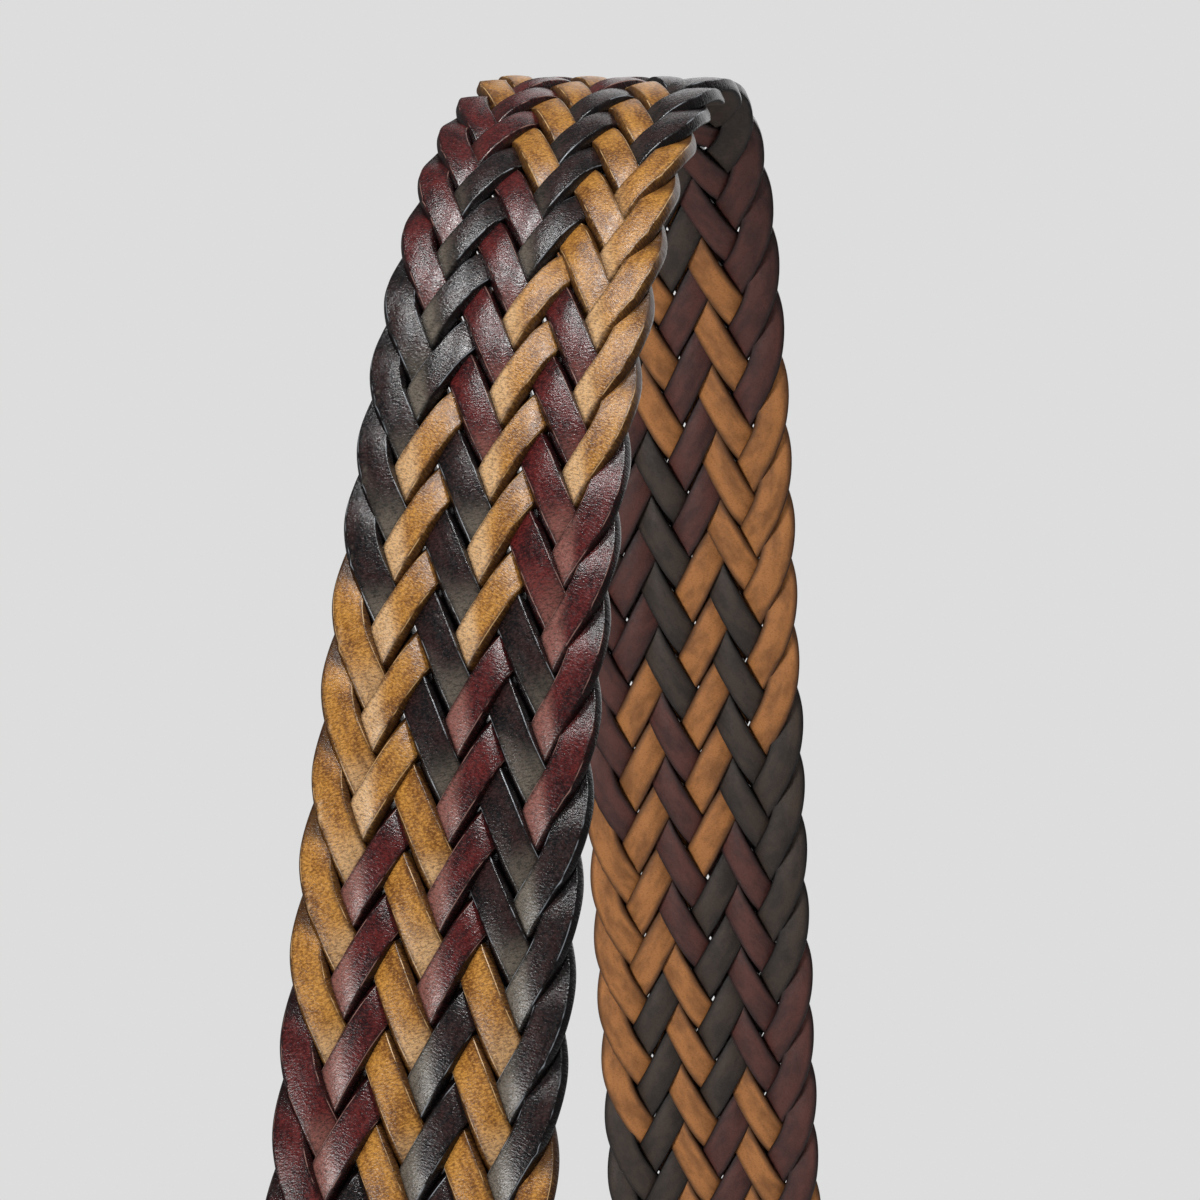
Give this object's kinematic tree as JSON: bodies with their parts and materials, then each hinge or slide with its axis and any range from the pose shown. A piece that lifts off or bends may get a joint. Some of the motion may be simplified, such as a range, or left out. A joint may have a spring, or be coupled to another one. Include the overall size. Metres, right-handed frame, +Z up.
{
  "type": "leather belt",
  "caption": "Flat braided leather belt in tan, burgundy and black, hung unbuckled over a peg, with a stitched leather tip, keepers and a prong buckle.",
  "frame": {"origin": "the point on the belt's inner face, at its middle, that rests on the peg", "axes": "+X across the belt's width, +Y towards the leg with the tip, +Z up; both legs hang down -Z"},
  "size_m": [0.051, 0.2607, 0.4945],
  "materials": {
    "tan_leather": "satin, burnished edges",
    "burgundy_leather": "satin, burnished edges",
    "black_leather": "satin, burnished edges",
    "tab_leather": "smooth calf, painted edges",
    "leatherboard": "raw",
    "thread": "waxed polyester",
    "buckle_metal": "brushed antique",
    "bar_steel": "satin",
    "staple_steel": "bright wire"
  },
  "bodies": {
    "strap": {"tan_strand_1": "tan_leather", "tan_strand_2": "tan_leather", "tan_strand_3": "tan_leather", "tan_strand_4": "tan_leather", "tan_strand_5": "tan_leather", "burgundy_strand_1": "burgundy_leather", "burgundy_strand_2": "burgundy_leather", "burgundy_strand_3": "burgundy_leather", "burgundy_strand_4": "burgundy_leather", "black_strand_1": "black_leather", "black_strand_2": "black_leather", "black_strand_3": "black_leather", "black_strand_4": "black_leather", "buckle_tab": "tab_leather", "buckle_tab_filler": "leatherboard", "buckle_tab_stitching": "thread", "fixed_keeper": "tab_leather", "fixed_keeper_staple": "staple_steel", "tip_tab_front": "tab_leather", "tip_tab_back": "tab_leather", "tip_tab_filler": "leatherboard", "tip_tab_stitching": "thread"},
    "buckle": {"buckle_frame": "buckle_metal", "heel_bar": "bar_steel"},
    "prong": {"prong": "buckle_metal"},
    "sliding_keeper": {"sliding_keeper": "tab_leather", "sliding_keeper_staple": "staple_steel"}
  },
  "joints": [
    {"name": "buckle_swivel", "type": "hinge", "parent": "strap", "child": "buckle", "pos_m": [0, -0.13543, -0.45326], "axis": [-1, 0, 0], "range_deg": [-90, 25]},
    {"name": "prong_hinge", "type": "hinge", "parent": "buckle", "child": "prong", "pos_m": [0, -0.13543, -0.45326], "axis": [-1, 0, 0], "range_deg": [0, 115]},
    {"name": "keeper_slide", "type": "slide", "parent": "strap", "child": "sliding_keeper", "axis": [0, 0, 1], "range_m": [-0.007, 0.065]}
  ]
}
